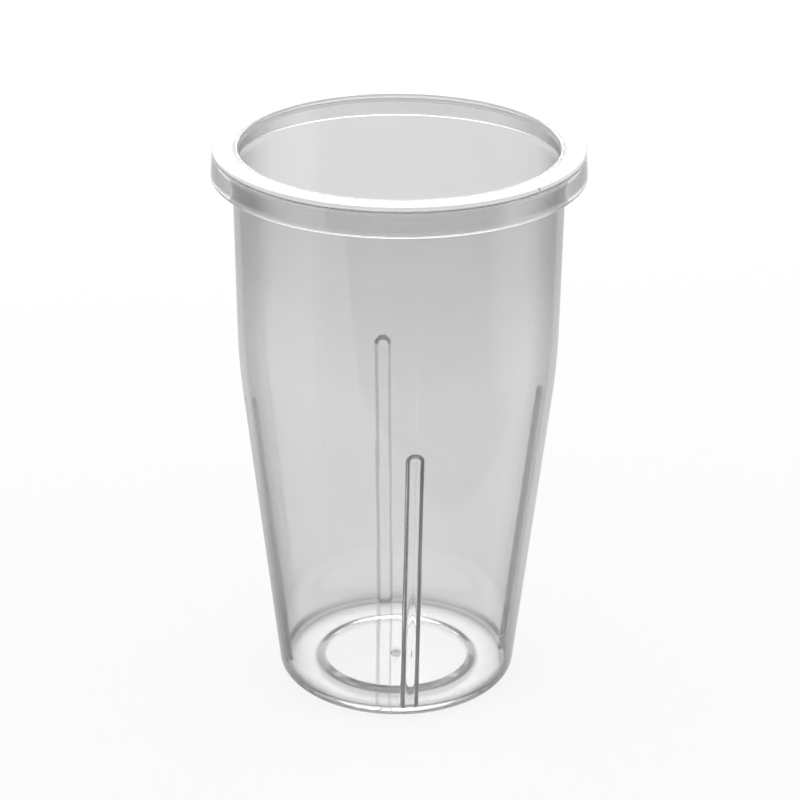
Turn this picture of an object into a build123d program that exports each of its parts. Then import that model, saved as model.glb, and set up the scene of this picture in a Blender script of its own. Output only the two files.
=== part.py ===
from build123d import *
import math
import os

# Clear moulded cup for a milkshake mixer: one solid of polycarbonate.
# Millimetres, +Z up, origin at the centre of the foot. The lower wall widens quickly,
# bends softly and runs on almost upright to a rim that folds outwards and hangs down
# as a skirt. Half-round ribs stand on the inside of the lower wall and break up the
# swirl of the drink.

# Overall sizes
overall_height = 172.0
rim_diameter = 110.0
rim_drop = 8.7
neck_diameter = 97.4
bend_diameter = 95.8
bend_height = 105.0
base_diameter = 72.4

# Walls
wall = 1.8
rim_wall = 1.8
floor_thickness = 3.2

# Draft of the skirt, which is wider at its lower edge
skirt_draft = 4.0

# Roundings
bend_radius = 200.0
base_rounding = 4.5
rim_rounding = 1.4

# Bevel in the corner between the floor and the inside wall
floor_bevel = 1.2

# Ribs inside the lower wall
rib_count = 4
rib_width = 5.2
rib_height = 2.0
rib_top = 93.5

# Middle of the floor, raised in one flat step with a sloping side and hollow below,
# with the pip that the moulding gate leaves at its centre
step_diameter = 50.0
step_height = 1.1
step_width = 2.6
gate_diameter = 3.4
gate_height = 0.5

# Round pieces that stand on, or hang down from, the point they are placed at
standing_up = (Align.CENTER, Align.CENTER, Align.MIN)
hanging_down = (Align.CENTER, Align.CENTER, Align.MAX)

# Radii and slopes worked out from the sizes above
rim_radius = rim_diameter / 2
neck_radius = neck_diameter / 2
bend_outer_radius = bend_diameter / 2
base_radius = base_diameter / 2
skirt_bottom = overall_height - rim_drop
lower_slope = (bend_outer_radius - base_radius) / bend_height
upper_slope = (neck_radius - bend_outer_radius) / (skirt_bottom - bend_height)
skirt_slope = math.tan(math.radians(skirt_draft))
lower_wall_width = wall * math.hypot(1, lower_slope)
upper_wall_width = wall * math.hypot(1, upper_slope)


def lower_outer(z):
    """Radius of the lower wall's outside at height z, before the bend."""
    return base_radius + lower_slope * z


def lower_inner(z):
    """Radius of the lower wall's inside at height z, before the bend."""
    return lower_outer(z) - lower_wall_width


def upper_outer(z):
    """Radius of the upper wall's outside at height z, above the bend."""
    return bend_outer_radius + upper_slope * (z - bend_height)


def skirt_outer(z):
    """Radius of the skirt's outside at height z."""
    return rim_radius - skirt_slope * (z - skirt_bottom)


def corners_of(profile):
    """The corner points of a profile, each a radius and a height."""
    return [corner for corner, _ in profile]


def roundings_of(profile):
    """The radius that rounds off each corner of a profile, 0 where it stays sharp."""
    return [rounding for _, rounding in profile]


# The inside wall is the outside wall moved in by the wall's thickness, so its two
# straight stretches cross at a height of their own
inner_bend_height = bend_height + (lower_wall_width - upper_wall_width) / (lower_slope - upper_slope)
inner_bend_radius = lower_inner(inner_bend_height)
mouth_radius = upper_outer(overall_height) - upper_wall_width
floor_radius = lower_inner(floor_thickness)

# Outside of the cup: body, rim and the open channel between skirt and body
channel_top = overall_height - rim_wall
outline = [
    ((0, 0), 0),
    ((base_radius, 0), base_rounding),
    ((bend_outer_radius, bend_height), bend_radius),
    ((upper_outer(channel_top), channel_top), 0),
    ((skirt_outer(channel_top) - rim_wall, channel_top), 0),
    ((rim_radius - rim_wall, skirt_bottom), 0),
    ((rim_radius, skirt_bottom), 0),
    ((skirt_outer(overall_height), overall_height), rim_rounding),
    ((0, overall_height), 0),
]
with BuildPart() as outside:
    with BuildSketch(Plane.XZ):
        with BuildLine():
            FilletPolyline(*corners_of(outline), radius=roundings_of(outline), close=True)
        make_face()
    revolve(axis=Axis.Z)

# Inside of the cup, with the ribs left standing
rib_radius = (rib_width**2 / 4 + rib_height**2) / (2 * rib_height)
rib_axis_offset = rib_radius - rib_height
rib_lean = math.degrees(math.atan(lower_slope))
rib_end_height = rib_top - rib_radius
rib_end_radius = lower_inner(rib_end_height) + rib_axis_offset * math.hypot(1, lower_slope)
rib_length = rib_end_height * math.hypot(1, lower_slope)
hollow_inside = [
    ((0, floor_thickness + step_height), 0),
    ((step_diameter / 2 - step_width, floor_thickness + step_height), 0),
    ((step_diameter / 2, floor_thickness), 0),
    ((floor_radius - floor_bevel, floor_thickness), 0),
    ((lower_inner(floor_thickness + floor_bevel), floor_thickness + floor_bevel), 0),
    ((inner_bend_radius, inner_bend_height), bend_radius),
    ((mouth_radius, overall_height), 0),
    ((0, overall_height), 0),
]
with BuildPart() as cavity:
    with BuildSketch(Plane.XZ):
        with BuildLine():
            FilletPolyline(*corners_of(hollow_inside), radius=roundings_of(hollow_inside), close=True)
        make_face()
    revolve(axis=Axis.Z)
    with PolarLocations(rib_end_radius, rib_count):
        with Locations(Location((0, 0, rib_end_height), (0, rib_lean, 0))):
            Sphere(rib_radius, mode=Mode.SUBTRACT)
            Cylinder(rib_radius, rib_length, align=hanging_down, mode=Mode.SUBTRACT)

# Hollow under the raised middle of the floor: a shallow round pan with a sloping side
with BuildPart() as pan:
    Cone(step_diameter / 2, step_diameter / 2 - step_width, step_height, align=standing_up)

# The cup itself
with BuildPart() as cup:
    add(outside.part)
    add(cavity.part, mode=Mode.SUBTRACT)
    add(pan.part, mode=Mode.SUBTRACT)
    with Locations((0, 0, step_height)):
        Cylinder(gate_diameter / 2, gate_height, align=hanging_down)
cup.part.label = "cup"

os.makedirs("parts", exist_ok=True)
export_step(cup.part, "parts/cup.step")
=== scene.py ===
import math

import bpy
from mathutils import Euler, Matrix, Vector


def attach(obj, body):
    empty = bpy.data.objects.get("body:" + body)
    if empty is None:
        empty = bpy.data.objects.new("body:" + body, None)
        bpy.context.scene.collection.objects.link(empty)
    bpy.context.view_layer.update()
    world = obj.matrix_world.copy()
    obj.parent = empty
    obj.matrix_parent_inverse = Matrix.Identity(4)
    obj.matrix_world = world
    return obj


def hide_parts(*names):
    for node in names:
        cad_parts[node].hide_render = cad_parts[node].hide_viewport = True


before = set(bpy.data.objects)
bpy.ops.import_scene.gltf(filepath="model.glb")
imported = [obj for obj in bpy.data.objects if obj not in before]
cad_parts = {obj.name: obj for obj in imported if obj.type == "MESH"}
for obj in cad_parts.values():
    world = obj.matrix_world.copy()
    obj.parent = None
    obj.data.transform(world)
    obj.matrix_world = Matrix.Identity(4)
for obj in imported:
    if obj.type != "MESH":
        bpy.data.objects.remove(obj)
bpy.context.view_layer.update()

# Sizes of the cup in millimetres and degrees, the same as the solid's
MM = 0.001
HEIGHT = 172.0
RIM_RADIUS = 55.0
RIM_DROP = 8.7
NECK_RADIUS = 48.7
BEND_RADIUS = 47.9
BEND_HEIGHT = 105.0
BEND_ROUNDING = 200.0
BASE_RADIUS = 36.2
BASE_ROUNDING = 4.5
WALL = 1.8
FLOOR = 3.2
FLOOR_BEVEL = 1.2
SKIRT_DRAFT = 4.0
RIB_COUNT = 4
RIB_WIDTH = 5.2
RIB_HEIGHT = 2.0
RIB_TOP = 93.5
STEP_RADIUS = 25.0
STEP_WIDTH = 2.6
STEP_HEIGHT = 1.1
GATE_RADIUS = 1.7
GATE_HEIGHT = 0.5

# Small roundings in millimetres. The rim's is crisper than the solid's.
RIM_ROUNDING = 0.8
LIP_ROUNDING = 0.7
CHANNEL_ROUNDING = 0.6
SKIRT_ROUNDING = 0.4
BEVEL_ROUNDING = 0.4
STEP_ROUNDING = 0.8
SOLE_ROUNDING = 0.4
GATE_ROUNDING = 0.15

# Witness lines above the ribs and the nick in the rim's outer edge, in millimetres and radians
SEAM_HEIGHT = 0.02
SEAM_HALF_WIDTH = math.radians(0.45)
SEAM_ABOVE_RIB = 3.0
SEAM_BELOW_TOP = 30.0
NICK_ANGLE = math.radians(309.5)
NICK_HALF_WIDTH = math.radians(0.7)
NICK_DEPTH = 0.25

# Columns of the mesh round the axis, close together at the ribs
RIB_ZONE = math.radians(7.2)
RIB_COLUMNS = 36
FREE_COLUMNS = 52

# Longest steps between the rows of the mesh, in millimetres, and the steps of its arcs
WALL_STEP = 6.0
FLOOR_STEP = 3.0
RIB_STEP = 2.2
RIM_STEP = 2.0
SOLE_STEP = 1.5
RING_STEP = 0.8
CREASE_STEP = 0.6
DOME_STEP = 0.3
ARC_STEP = math.radians(11)
FEWEST_ARC_STEPS = 3
WIDE_ARC_RADIUS = 50.0
WIDE_ARC_STEPS = 10
SAME_PLACE = 1e-4

# Zones that look different, in millimetres
MARGIN = 0.2
GATE_MARGIN = 0.4
CREASE_MARGIN = 0.4
BEVEL_LINE = 0.25
FLOOR_LINE = 0.15
FLOOR_ZONE = 6.0
FOOT_INNER = 32.0
FOOT_VEIL_INNER = 32.5
FOOT_VEIL_MARGIN = 0.1
FOOT_EDGE_WIDTH = 2.0
SKIRT_EDGE_HEIGHT = 0.5
RIM_BAND = 1.0
LIP_DEPTH = 2.6
LIP_GAP = 0.05
DOME_ABOVE = 1.5
DOME_BELOW = 1.0
RIB_LEAST = 0.02
RIB_CLEAR_SHARE = 0.62
UPPER_FROM = 112.0
UPPER_TO = 142.0

# How much light the plastic lets through, and how pale it shows where it is made opaque. The crease,
# gate and foot tones are painted shade, the rim's white is a painted highlight, the lip's tone is
# painted flat grey and the seam gleam is a painted highlight
LOWER_TONE = 0.88
UPPER_TONE = 0.77
RIM_TONE = 1.0
LIP_TONE = 0.85
FLOOR_TONE = 0.9
FOOT_SHADE_TONE = 0.74
CREASE_SHADE_TONE = 0.52
SEAM_GLEAM = 0.08

# How much of the plastic is made opaque: painted shade on the floor's step, the foot, the gate and
# the ribs' flanks and caps, wear at the nick, a painted highlight on the rim and painted flat grey
# on the lip
STEP_SHADE = 0.35
FOOT_SHADE = 0.1
GATE_SHADE = 0.4
RIB_FOOT_SHADE = 0.45
FLANK_SHADE = 0.25
CAP_SHADE = 0.6
NICK_VEIL = 0.7
# Painted highlight on the rim and painted flat grey on the lip
RIM_HIGHLIGHT_VEIL = 0.8
LIP_GREY_VEIL = 0.75

# How strongly painted shade darkens the plastic where it turns away
LOWER_EDGE = 0.96
UPPER_EDGE = 1.1
RIB_EDGE = 0.9
SKIRT_EDGE = 2.0
FOOT_EDGE = 2.4
TINT_SLANTS = (0.45, 0.95)
TINT_LEFT = 0.35
GRAZING_SLANTS = (0.9, 1.4)
GRAZING_LEFT = 0.35

# Fine detail of the plastic: clouding of the tint, grain of the gloss and scuffs round the wall
PLASTIC_IOR = 1.585
SHADOW_PASSES = 0.95
CLOUD_SCALE = 16.0
CLOUD_DETAIL = 2.0
CLOUD_NOISE = (0.35, 0.65)
CLOUD_TONES = (0.965, 1.0)
GRAIN_SCALE = 260.0
GRAIN_DETAIL = 5.0
GRAIN_NOISE = (0.35, 0.75)
GRAIN_ROUGHNESS = (0.012, 0.05)
SCUFF_SCALES = (60.0, 60.0, 1400.0)
SCUFF_DETAIL = 3.0
SCUFF_STRENGTH = 0.04
SCUFF_DEPTH = 0.02

# The studio, in metres: floor, world, lamp behind the cup and a glowing mat round its foot that puts
# painted shade and a painted reflection into the cup
FLOOR_REACH = 6.0
FLOOR_DROP = 0.0002
FLOOR_GREY = 0.9
FLOOR_GLOW = 0.8
WORLD_GREY = 0.8
BOX_WIDTH = 1.8
BOX_DEPTH = 0.8
BOX_RADIANCE = 2.5
BOX_PLACE = (0.0, 1.3, 0.62)
BOX_TARGET = (0.0, 0.0, 0.1)
MAT_HOLE = 0.036
MAT_REACH = 1.6
MAT_LIFT = 0.0005
MAT_SIDES = 48
MAT_MOST_TURNS = 34
MAT_LIGHTENS = (0.55, 0.85, 0.0)
MAT_FRONT_TO_BACK = (-0.05, 0.1)
MAT_FRONT_TONE = 0.13
MAT_BACK_TONE = 0.72
SHEET_FACES = (0.5, -0.85, 0.0)
SHEET_EDGE = 0.13
SHEET_BLUR = 0.012
SHEET_TONE = 0.75
MOST_BOUNCES = 128

# The photograph's camera, in millimetres and degrees
CAMERA_DISTANCE = 744.5
CAMERA_HEIGHT = 425.4
CAMERA_TURN = 6.5
CAMERA_PITCH = 24.23
CAMERA_ROLL = 0.34
CAMERA_LENS = 121.2
CAMERA_SENSOR = 36.0
CAMERA_SHIFT = 0.0027

# Slopes, widths and places worked out from the sizes
skirt_slope = math.tan(math.radians(SKIRT_DRAFT))
lower_slope = (BEND_RADIUS - BASE_RADIUS) / BEND_HEIGHT
upper_slope = (NECK_RADIUS - BEND_RADIUS) / (HEIGHT - RIM_DROP - BEND_HEIGHT)
lower_width = WALL * math.hypot(1, lower_slope)
upper_width = WALL * math.hypot(1, upper_slope)
channel_top = HEIGHT - WALL
skirt_bottom = HEIGHT - RIM_DROP
quarter = 2 * math.pi / RIB_COUNT


def lower_outer(height):
    """Outer radius of the tapered part."""
    return BASE_RADIUS + lower_slope * height


def upper_outer(height):
    """Outer radius of the upright part."""
    return BEND_RADIUS + upper_slope * (height - BEND_HEIGHT)


def skirt_outer(height):
    """Outer radius of the skirt."""
    return RIM_RADIUS - skirt_slope * (height - skirt_bottom)


def lower_inner(height):
    """Inner radius of the tapered part."""
    return lower_outer(height) - lower_width


def upper_inner(height):
    """Inner radius of the upright part."""
    return upper_outer(height) - upper_width


mouth_radius = upper_inner(HEIGHT)
inner_bend_height = BEND_HEIGHT + (lower_width - upper_width) / (lower_slope - upper_slope)
bevel_top = FLOOR + FLOOR_BEVEL
corner_radius = lower_inner(FLOOR) - FLOOR_BEVEL
rib_radius = (RIB_WIDTH**2 / 4 + RIB_HEIGHT**2) / (2 * RIB_HEIGHT)
rib_end = RIB_TOP - rib_radius
rib_axis_out = (rib_radius - RIB_HEIGHT) * math.hypot(1, lower_slope) - lower_width
dome_from = rib_end - DOME_BELOW
dome_to = RIB_TOP + DOME_ABOVE


def arc_points(centre, start, end):
    """Points on an arc, from the one after its start to its end."""
    spoke = start - centre
    turn = spoke.angle_signed(end - centre)
    count = max(FEWEST_ARC_STEPS, math.ceil(abs(turn) / ARC_STEP))
    if spoke.length > WIDE_ARC_RADIUS:
        count = WIDE_ARC_STEPS
    points = []
    for k in range(1, count + 1):
        angle = -turn * k / count
        turned = Vector((
            spoke.x * math.cos(angle) - spoke.y * math.sin(angle),
            spoke.x * math.sin(angle) + spoke.y * math.cos(angle),
        ))
        points.append(centre + turned)
    return points


def rounded_outline(corners):
    """Rows (radius, height) along straight runs between corners that arcs round off.

    A corner is its radius, its height, its rounding and the longest step on the run after it."""
    points = [Vector(corner[:2]) for corner in corners]
    starts = list(points)
    ends = list(points)
    centres = [None] * len(points)
    for i in range(1, len(points) - 1):
        rounding = corners[i][2]
        if rounding > 0:
            back = (points[i - 1] - points[i]).normalized()
            ahead = (points[i + 1] - points[i]).normalized()
            half = back.angle(ahead) / 2
            reach = rounding / math.tan(half)
            starts[i] = points[i] + back * reach
            ends[i] = points[i] + ahead * reach
            centres[i] = points[i] + (back + ahead).normalized() * (rounding / math.sin(half))
    path = []
    for i in range(1, len(points)):
        run_start, run_end = ends[i - 1], starts[i]
        count = max(1, math.ceil((run_end - run_start).length / corners[i - 1][3]))
        path += [run_start.lerp(run_end, k / count) for k in range(count + 1)]
        if centres[i] is not None:
            path += arc_points(centres[i], starts[i], ends[i])
    rows = []
    for point in path:
        if not rows or math.hypot(point.x - rows[-1][0], point.y - rows[-1][1]) >= SAME_PLACE:
            rows.append((point.x, point.y))
    return rows


# The closed outline that turns round the axis, from the centre below to the centre above
rows = rounded_outline([
    (0.0, STEP_HEIGHT - GATE_HEIGHT, 0, SOLE_STEP),
    (GATE_RADIUS, STEP_HEIGHT - GATE_HEIGHT, GATE_ROUNDING, SOLE_STEP),
    (GATE_RADIUS, STEP_HEIGHT, GATE_ROUNDING, SOLE_STEP),
    (GATE_RADIUS + GATE_MARGIN, STEP_HEIGHT, 0, FLOOR_STEP),
    (STEP_RADIUS - STEP_WIDTH, STEP_HEIGHT, STEP_ROUNDING, CREASE_STEP),
    (STEP_RADIUS, 0.0, SOLE_ROUNDING, SOLE_STEP),
    (BASE_RADIUS, 0.0, BASE_ROUNDING, WALL_STEP),
    (BEND_RADIUS, BEND_HEIGHT, BEND_ROUNDING, WALL_STEP),
    (upper_outer(channel_top), channel_top, CHANNEL_ROUNDING, RIM_STEP),
    (skirt_outer(channel_top) - WALL, channel_top, CHANNEL_ROUNDING, RIM_STEP),
    (RIM_RADIUS - WALL, skirt_bottom, SKIRT_ROUNDING, RIM_STEP),
    (RIM_RADIUS, skirt_bottom, SKIRT_ROUNDING, RIM_STEP),
    (skirt_outer(HEIGHT - RIM_BAND), HEIGHT - RIM_BAND, 0, CREASE_STEP),
    (skirt_outer(HEIGHT), HEIGHT, RIM_ROUNDING, RIM_STEP),
    (mouth_radius, HEIGHT, LIP_ROUNDING, CREASE_STEP),
    (upper_inner(HEIGHT - LIP_DEPTH), HEIGHT - LIP_DEPTH, 0, WALL_STEP),
    (lower_inner(inner_bend_height), inner_bend_height, BEND_ROUNDING, RIM_STEP),
    (lower_inner(dome_to), dome_to, 0, DOME_STEP),
    (lower_inner(dome_from), dome_from, 0, RIB_STEP),
    (lower_inner(bevel_top), bevel_top, BEVEL_ROUNDING, CREASE_STEP),
    (corner_radius, FLOOR, BEVEL_ROUNDING, RING_STEP),
    (STEP_RADIUS, FLOOR, STEP_ROUNDING, CREASE_STEP),
    (STEP_RADIUS - STEP_WIDTH, FLOOR + STEP_HEIGHT, STEP_ROUNDING, FLOOR_STEP),
    (0.0, FLOOR + STEP_HEIGHT, 0, FLOOR_STEP),
])
top_row = max(range(len(rows)), key=lambda i: rows[i][1])


def column_angles():
    """Angles round the axis, close together at the ribs and with three more at the nick."""
    angles = [NICK_ANGLE - NICK_HALF_WIDTH, NICK_ANGLE, NICK_ANGLE + NICK_HALF_WIDTH]
    for rib in range(RIB_COUNT):
        middle = rib * quarter
        for k in range(RIB_COLUMNS):
            angles.append(middle - RIB_ZONE + 2 * RIB_ZONE * k / RIB_COLUMNS)
        for k in range(FREE_COLUMNS):
            angles.append(middle + RIB_ZONE + (quarter - 2 * RIB_ZONE) * k / FREE_COLUMNS)
    return sorted(angles)


def rib_offset(angle):
    """Angle from the nearest rib's middle."""
    return (angle + quarter / 2) % quarter - quarter / 2


def rib_reach(angle, radius, height):
    """How far a rib stands in from the inside wall, along the radius."""
    off = rib_offset(angle)
    above = max(0.0, height - rib_end)
    span = rib_radius**2 - above**2
    if abs(off) > RIB_ZONE or span <= 0:
        return 0.0
    # the line from the cup's axis meets the rib's round front where it is rib_radius away
    axis_radius = lower_outer(min(height, rib_end)) + rib_axis_out
    room = span - (axis_radius * math.sin(off)) ** 2
    if room <= 0:
        return 0.0
    return max(0.0, radius - axis_radius * math.cos(off) + math.sqrt(room))


def inside_reach(angle, radius, height):
    """How far the ribs, and the witness lines above them, stand in from the inside wall."""
    if radius < STEP_RADIUS:
        return 0.0
    if RIB_TOP + SEAM_ABOVE_RIB < height < HEIGHT - SEAM_BELOW_TOP:
        return SEAM_HEIGHT * max(0.0, 1 - abs(rib_offset(angle)) / SEAM_HALF_WIDTH)
    return rib_reach(angle, radius, height)


# Points of the mesh, with how far each stands in from the plain wall and whether the nick cuts it
angles = column_angles()
columns = len(angles)
vertices = [(0.0, 0.0, rows[0][1] * MM)]
reaches = [0.0]
nicks = [False]
for i, (radius, height) in enumerate(rows[1:-1], start=1):
    at_rim_edge = height > HEIGHT - RIM_ROUNDING and radius > RIM_RADIUS - WALL
    for angle in angles:
        reach = inside_reach(angle, radius, height) if i > top_row else 0.0
        nicked = at_rim_edge and angle == NICK_ANGLE
        r = radius - reach - (NICK_DEPTH if nicked else 0.0)
        vertices.append((r * math.cos(angle) * MM, r * math.sin(angle) * MM, height * MM))
        reaches.append(reach)
        nicks.append(nicked)
vertices.append((0.0, 0.0, rows[-1][1] * MM))
reaches.append(0.0)
nicks.append(False)

faces = []
upper_centre = len(vertices) - 1
last_ring = upper_centre - columns
for c in range(columns):
    d = (c + 1) % columns
    faces.append((0, 1 + d, 1 + c))
    for ring in range(1, last_ring, columns):
        above = ring + columns
        faces.append((ring + c, ring + d, above + d, above + c))
    faces.append((last_ring + c, last_ring + d, upper_centre))

mesh = bpy.data.meshes.new("clear_cup")
mesh.from_pydata(vertices, [], faces)
mesh.update()
cup = bpy.data.objects.new("clear_cup", mesh)
bpy.context.collection.objects.link(cup)
mesh.shade_smooth()


def upper_share(height):
    """How far a height is on its way from the tapered part to the upright one."""
    return min(1.0, max(0.0, (height - UPPER_FROM) / (UPPER_TO - UPPER_FROM)))


def in_skirt(radius):
    """Whether a place is further out than the body, in the folded rim."""
    return radius > upper_outer(HEIGHT) + MARGIN


def on_rim(radius, height):
    """Whether a place is on the rim's top or its outer rounding."""
    return height > HEIGHT - RIM_ROUNDING and radius > mouth_radius + LIP_ROUNDING + LIP_GAP


def on_lip(radius, height):
    """Whether a place is at the top of the inside wall, under the rim's top."""
    return height > HEIGHT - LIP_DEPTH and radius < mouth_radius + LIP_ROUNDING - LIP_GAP


def in_gate(radius):
    """Whether a place is on the gate's pip or in the middle above it."""
    return radius < GATE_RADIUS + MARGIN


def in_crease(radius, height):
    """Whether a place on the floor is on the step's side or on one of the bevel's two lines, where
    shade is painted.
    """
    if radius < STEP_RADIUS + CREASE_MARGIN:
        return radius > STEP_RADIUS - STEP_WIDTH
    on_upper_line = abs(height - bevel_top) < BEVEL_LINE
    on_lower_line = abs(height - FLOOR) < FLOOR_LINE and radius > corner_radius - CREASE_MARGIN
    return on_upper_line or on_lower_line


def tone_at(radius, height):
    """How much light the plastic lets through, with painted shade on the creases, the gate and the
    foot, a painted highlight on the rim and painted flat grey on the lip.
    """
    if height < FLOOR_ZONE:
        if in_crease(radius, height) or in_gate(radius):
            return CREASE_SHADE_TONE
        return FOOT_SHADE_TONE if radius > FOOT_INNER else FLOOR_TONE
    if on_rim(radius, height) or in_skirt(radius):
        return RIM_TONE
    if on_lip(radius, height):
        return LIP_TONE
    return LOWER_TONE + (UPPER_TONE - LOWER_TONE) * upper_share(height)


def edge_shade_at(radius, height):
    """How strongly painted shade darkens the plastic where it turns away."""
    if in_skirt(radius):
        on_top = height > HEIGHT - RIM_BAND - MARGIN
        on_lower_edge = height < skirt_bottom + SKIRT_EDGE_HEIGHT and radius > RIM_RADIUS - WALL / 2
        return 0.0 if on_top or on_lower_edge else SKIRT_EDGE
    if height > HEIGHT - LIP_DEPTH - MARGIN:
        return 0.0
    if height < FLOOR_ZONE:
        return FOOT_EDGE if radius > BASE_RADIUS - FOOT_EDGE_WIDTH else 0.0
    return LOWER_EDGE + (UPPER_EDGE - LOWER_EDGE) * upper_share(height)


def painted_shade_at(angle, radius, height, reach):
    """How much painted shade darkens the floor's step, the foot, the gate and the ribs' flanks and
    caps.
    """
    if STEP_RADIUS - STEP_WIDTH < radius < STEP_RADIUS and FLOOR < height < FLOOR + STEP_HEIGHT:
        return STEP_SHADE
    if height < FLOOR - FOOT_VEIL_MARGIN and radius > FOOT_VEIL_INNER:
        return FOOT_SHADE
    if height < FLOOR and in_gate(radius):
        return GATE_SHADE
    if reach < RIB_LEAST or height > RIB_TOP:
        return 0.0
    if height < bevel_top:
        return RIB_FOOT_SHADE
    aside = radius * abs(math.sin(rib_offset(angle)))
    over = max(0.0, height - rib_end)
    if math.hypot(aside, over) < RIB_CLEAR_SHARE * RIB_WIDTH / 2:
        return 0.0
    return CAP_SHADE if over > 0 else FLANK_SHADE


def rim_and_lip_paint_at(radius, height):
    """How much the rim's painted highlight and the lip's painted flat grey cover the plastic, which
    leaves their tone as it is.
    """
    if on_rim(radius, height):
        return RIM_HIGHLIGHT_VEIL
    return LIP_GREY_VEIL if on_lip(radius, height) else 0.0


# What the material reads at each point: tone, veil and how strongly painted shade darkens the wall's
# edge. The tone and veil carry painted shade and painted highlights too.
tones = mesh.attributes.new("tone", "FLOAT", "POINT")
veils = mesh.attributes.new("veil", "FLOAT", "POINT")
edge_shades = mesh.attributes.new("wall", "FLOAT", "POINT")
for i, (vertex, reach, nicked) in enumerate(zip(mesh.vertices, reaches, nicks)):
    x, y, z = vertex.co
    radius = math.hypot(x, y) / MM
    height = z / MM
    # The nick is worn dull; everywhere else this darkening is painted shade
    nick_wear_and_shade = NICK_VEIL if nicked else painted_shade_at(math.atan2(y, x), radius, height, reach)
    # The rim gets a painted highlight and the lip painted flat grey
    rim_and_lip_paint = 0.0 if nicked else rim_and_lip_paint_at(radius, height)
    tone = tone_at(radius, height) * (1 - nick_wear_and_shade)
    edge = edge_shade_at(radius, height)
    # Witness lines get a painted highlight, and the ribs their own painted edge shade
    if reach > 0 and height > RIB_TOP:
        tone *= 1 + SEAM_GLEAM * reach / SEAM_HEIGHT
    elif reach > 0:
        edge = RIB_EDGE
    tones.data[i].value = tone
    veils.data[i].value = rim_and_lip_paint or nick_wear_and_shade
    edge_shades.data[i].value = edge


def new_material(name):
    """A material with the default shader in it."""
    material = bpy.data.materials.new(name)
    material.use_nodes = True
    return material


def plug(tree, socket, value):
    """Links another node's output to a socket, or sets the socket to a plain value."""
    if isinstance(value, bpy.types.NodeSocket):
        tree.links.new(value, socket)
    else:
        socket.default_value = value


def add_node(tree, kind, inputs=None, **settings):
    """A shader node with its settings. Its inputs are plain values or other nodes' outputs."""
    node = tree.nodes.new("ShaderNode" + kind)
    for name, value in settings.items():
        setattr(node, name, value)
    for key, value in (inputs or {}).items():
        plug(tree, node.inputs[key], value)
    return node


def attribute(tree, name):
    """A value that the mesh carries at its points."""
    return add_node(tree, "Attribute", attribute_name=name).outputs["Fac"]


def calculate(tree, operation, *values):
    """The result of one sum."""
    return add_node(tree, "Math", dict(enumerate(values)), operation=operation).outputs["Value"]


def along(tree, place, direction):
    """How far a place lies in one direction."""
    node = add_node(tree, "VectorMath", {0: place, 1: direction}, operation="DOT_PRODUCT")
    return node.outputs["Value"]


def remap(tree, value, source, target, **settings):
    """A value carried from one range to another and held inside it."""
    inputs = {
        "Value": value,
        "From Min": source[0],
        "From Max": source[1],
        "To Min": target[0],
        "To Max": target[1],
    }
    return add_node(tree, "MapRange", inputs, **settings).outputs["Result"]


def noise(tree, place, scale, detail):
    """Noise between 0 and 1."""
    inputs = {"Vector": place, "Scale": scale, "Detail": detail}
    return add_node(tree, "TexNoise", inputs).outputs["Fac"]


def mix_to_surface(tree, share, first, second):
    """Gives the material's surface two shaders, with a share of the second."""
    mix = add_node(tree, "MixShader", {"Fac": share, 1: first, 2: second})
    plug(tree, tree.nodes["Material Output"].inputs["Surface"], mix.outputs["Shader"])


def grey(level):
    return (level, level, level, 1)


def plastic_material():
    """Clear polycarbonate with a faint grey tint, painted shade where it turns away, and the painted
    shade and highlights of the mesh's tone and veil.
    """
    material = new_material("clear_plastic")
    tree = material.node_tree
    shader = tree.nodes["Principled BSDF"]
    shader.inputs["IOR"].default_value = PLASTIC_IOR
    place = add_node(tree, "TexCoord").outputs["Object"]

    # Slant is 0 where the plastic faces the eye and grows where it turns away, where it paints shade
    facing = add_node(tree, "LayerWeight").outputs["Facing"]
    slant = calculate(tree, "MULTIPLY", facing, attribute(tree, "wall"))

    cloud = remap(tree, noise(tree, place, CLOUD_SCALE, CLOUD_DETAIL), CLOUD_NOISE, CLOUD_TONES)
    clouded = calculate(tree, "MULTIPLY", attribute(tree, "tone"), cloud)
    # Painted shade: the tint darkens where the plastic turns away
    tint_left = remap(tree, slant, TINT_SLANTS, (1.0, TINT_LEFT))
    tint = calculate(tree, "MULTIPLY", clouded, tint_left)
    plug(tree, shader.inputs["Base Color"], tint)

    clearness = calculate(tree, "SUBTRACT", 1.0, attribute(tree, "veil"))
    # Painted shade: less light passes where the plastic turns away, so the dark tint shows
    grazing_left = remap(tree, slant, GRAZING_SLANTS, (1.0, GRAZING_LEFT))
    passes = calculate(tree, "MULTIPLY", clearness, grazing_left)
    plug(tree, shader.inputs["Transmission Weight"], passes)

    grain = noise(tree, place, GRAIN_SCALE, GRAIN_DETAIL)
    plug(tree, shader.inputs["Roughness"], remap(tree, grain, GRAIN_NOISE, GRAIN_ROUGHNESS))

    stretched = add_node(tree, "Mapping", {"Vector": place, "Scale": SCUFF_SCALES}).outputs["Vector"]
    scuffs = {
        "Height": noise(tree, stretched, 1.0, SCUFF_DETAIL),
        "Strength": SCUFF_STRENGTH,
        "Distance": SCUFF_DEPTH * MM,
    }
    plug(tree, shader.inputs["Normal"], add_node(tree, "Bump", scuffs).outputs["Normal"])

    # Light on its way from the lamp passes straight through, so the shadow stays pale
    clear = add_node(tree, "BsdfTransparent", {"Color": grey(SHADOW_PASSES)})
    shadow_ray = add_node(tree, "LightPath").outputs["Is Shadow Ray"]
    mix_to_surface(tree, shadow_ray, shader.outputs["BSDF"], clear.outputs["BSDF"])
    return material


mesh.materials.append(plastic_material())
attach(cup, "root")
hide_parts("cup")


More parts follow.
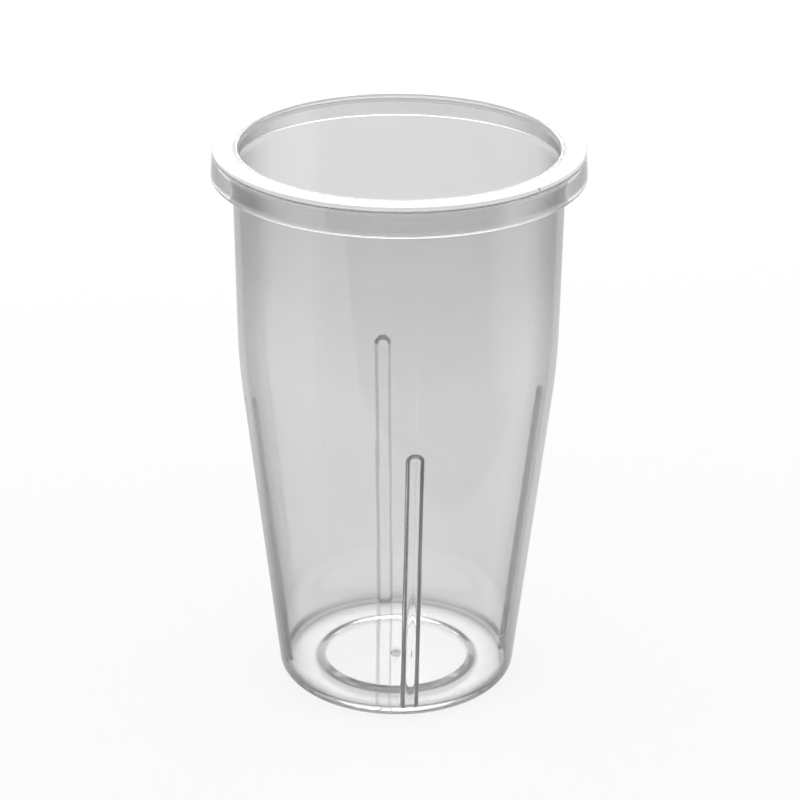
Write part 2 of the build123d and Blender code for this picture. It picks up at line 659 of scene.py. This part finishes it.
def floor_material():
    """Pale floor that reads as white behind the cup and still takes its shadow."""
    material = new_material("pale_floor")
    tree = material.node_tree
    tree.nodes.remove(tree.nodes["Principled BSDF"])
    matt = add_node(tree, "BsdfDiffuse", {"Color": grey(FLOOR_GREY)})
    glow = add_node(tree, "Emission")
    path = add_node(tree, "LightPath").outputs
    direct = calculate(tree, "MAXIMUM", path["Is Camera Ray"], path["Is Glossy Ray"])
    seen = calculate(tree, "MAXIMUM", direct, path["Is Transmission Ray"])
    share = calculate(tree, "MULTIPLY", seen, FLOOR_GLOW)
    mix_to_surface(tree, share, matt.outputs["BSDF"], glow.outputs["Emission"])
    return material


def mat_material():
    """Glowing painted shade round the cup that only reflected light meets; straight light passes it.
    """
    material = new_material("painted_shade_and_reflection_mat")
    tree = material.node_tree
    tree.nodes.remove(tree.nodes["Principled BSDF"])
    place = add_node(tree, "TexCoord").outputs["Object"]
    path = add_node(tree, "LightPath").outputs

    # The painted shade lightens towards the back
    shade = remap(
        tree,
        along(tree, place, MAT_LIGHTENS),
        MAT_FRONT_TO_BACK,
        (MAT_FRONT_TONE, MAT_BACK_TONE),
        interpolation_type="SMOOTHSTEP",
    )

    # A painted reflection: a pale sheet that only the outside of the cup mirrors
    sheet_range = (SHEET_EDGE, SHEET_EDGE + SHEET_BLUR)
    sheet = remap(tree, along(tree, place, SHEET_FACES), sheet_range, (SHEET_TONE, 0.0))
    outside = calculate(tree, "LESS_THAN", path["Transmission Depth"], 0.5)
    painted_reflection = calculate(tree, "MULTIPLY", sheet, outside)
    lit = calculate(tree, "MAXIMUM", painted_reflection, shade)

    # Reflected light has turned at least once, and at most MAT_MOST_TURNS times
    middle_turn = (1 + MAT_MOST_TURNS) / 2
    reflected = calculate(tree, "COMPARE", path["Glossy Depth"], middle_turn, MAT_MOST_TURNS / 2)
    clear = add_node(tree, "BsdfTransparent")
    glow = add_node(tree, "Emission", {"Color": lit})
    mix_to_surface(tree, reflected, clear.outputs["BSDF"], glow.outputs["Emission"])
    return material


def stage_piece(name, points, polygons, material):
    """A piece of the studio, which isn't part of the cup."""
    piece_mesh = bpy.data.meshes.new(name)
    piece_mesh.from_pydata(points, [], polygons)
    piece_mesh.materials.append(material)
    piece = bpy.data.objects.new(name, piece_mesh)
    bpy.context.collection.objects.link(piece)
    return piece


floor_corners = [(-1, -1), (1, -1), (1, 1), (-1, 1)]
floor_points = [(x * FLOOR_REACH, y * FLOOR_REACH, 0) for x, y in floor_corners]
floor = stage_piece("floor", floor_points, [(0, 1, 2, 3)], floor_material())
floor.location.z = -FLOOR_DROP

mat_points = []
for reach in (MAT_HOLE, MAT_REACH):
    for k in range(MAT_SIDES):
        angle = 2 * math.pi * k / MAT_SIDES
        mat_points.append((reach * math.cos(angle), reach * math.sin(angle), MAT_LIFT))
mat_faces = []
for k in range(MAT_SIDES):
    following = (k + 1) % MAT_SIDES
    mat_faces.append((k, following, MAT_SIDES + following, MAT_SIDES + k))
# This mat is painted shade and a painted reflection, seen only in the cup
mat = stage_piece("painted_shade_and_reflection_mat", mat_points, mat_faces, mat_material())
mat.visible_camera = False
mat.visible_diffuse = False
mat.visible_shadow = False

world = bpy.data.worlds.new("studio")
bpy.context.scene.world = world
world.use_nodes = True
world.node_tree.nodes["Background"].inputs["Color"].default_value = grey(WORLD_GREY)

# A soft box behind the cup; its radiance is how bright it looks itself
light = bpy.data.lights.new("back_box", "AREA")
light.shape = "RECTANGLE"
light.size = BOX_WIDTH
light.size_y = BOX_DEPTH
light.energy = BOX_RADIANCE * math.pi * BOX_WIDTH * BOX_DEPTH
lamp = bpy.data.objects.new("back_box", light)
lamp.location = BOX_PLACE
lamp.rotation_euler = (Vector(BOX_TARGET) - Vector(BOX_PLACE)).to_track_quat("-Z", "Y").to_euler()
lamp.visible_camera = False
bpy.context.collection.objects.link(lamp)

turn = math.radians(CAMERA_TURN)
camera = bpy.data.objects.new("camera", bpy.data.cameras.new("camera"))
bpy.context.collection.objects.link(camera)
camera.data.lens = CAMERA_LENS
camera.data.sensor_width = CAMERA_SENSOR
camera.data.shift_x = CAMERA_SHIFT
camera.location = (
    -CAMERA_DISTANCE * MM * math.sin(turn),
    -CAMERA_DISTANCE * MM * math.cos(turn),
    CAMERA_HEIGHT * MM,
)
aim = Euler((math.radians(90 - CAMERA_PITCH), 0, -turn)).to_matrix()
roll = Euler((0, 0, math.radians(CAMERA_ROLL))).to_matrix()
camera.rotation_euler = (aim @ roll).to_euler()
bpy.context.scene.camera = camera

bpy.context.scene.view_settings.view_transform = "Standard"
bpy.context.scene.cycles.max_bounces = MOST_BOUNCES
bpy.context.scene.cycles.transmission_bounces = MOST_BOUNCES
bpy.context.scene.cycles.glossy_bounces = MOST_BOUNCES
